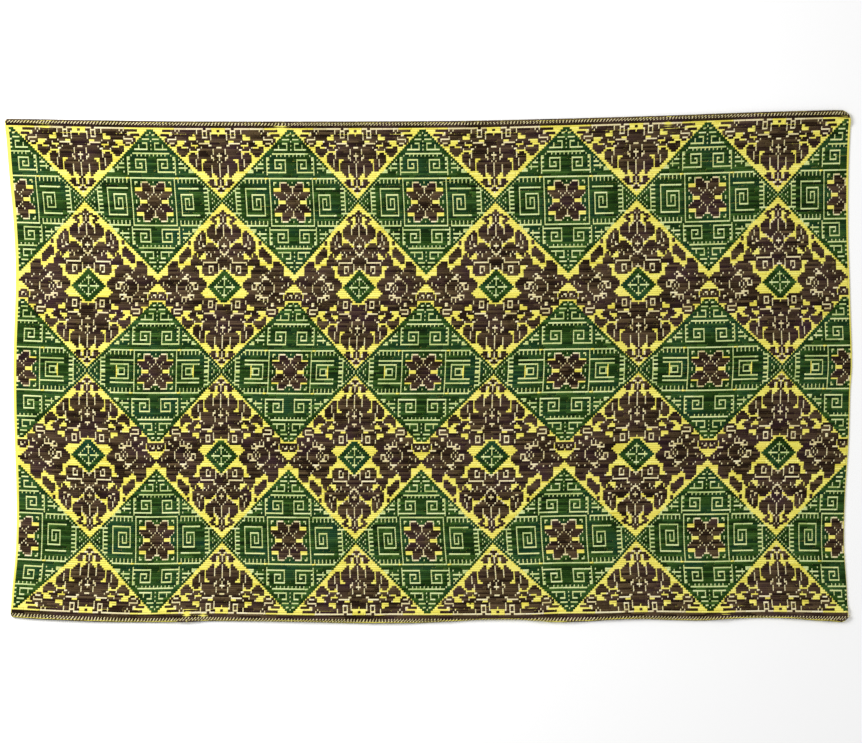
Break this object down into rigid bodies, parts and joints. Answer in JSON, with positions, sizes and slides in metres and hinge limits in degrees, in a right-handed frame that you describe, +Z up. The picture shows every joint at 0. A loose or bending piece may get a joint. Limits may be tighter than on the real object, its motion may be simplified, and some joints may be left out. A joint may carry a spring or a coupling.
{
  "type": "wool rug",
  "caption": "Flat-woven rectangular wool rug with brocaded diamonds, turned hems on its long edges, lying flat on a floor.",
  "frame": {"origin": "middle of the rug's outline, on its flat underside", "axes": "+Z up out of the face, +X along the length, +Y across the width"},
  "size_m": [2.0316, 1.2288, 0.0086],
  "materials": {
    "wool": "matt wool, bright yellow ground with dark green and dark brown brocading"
  },
  "bodies": {
    "root": {"rug": "wool"}
  },
  "joints": []
}
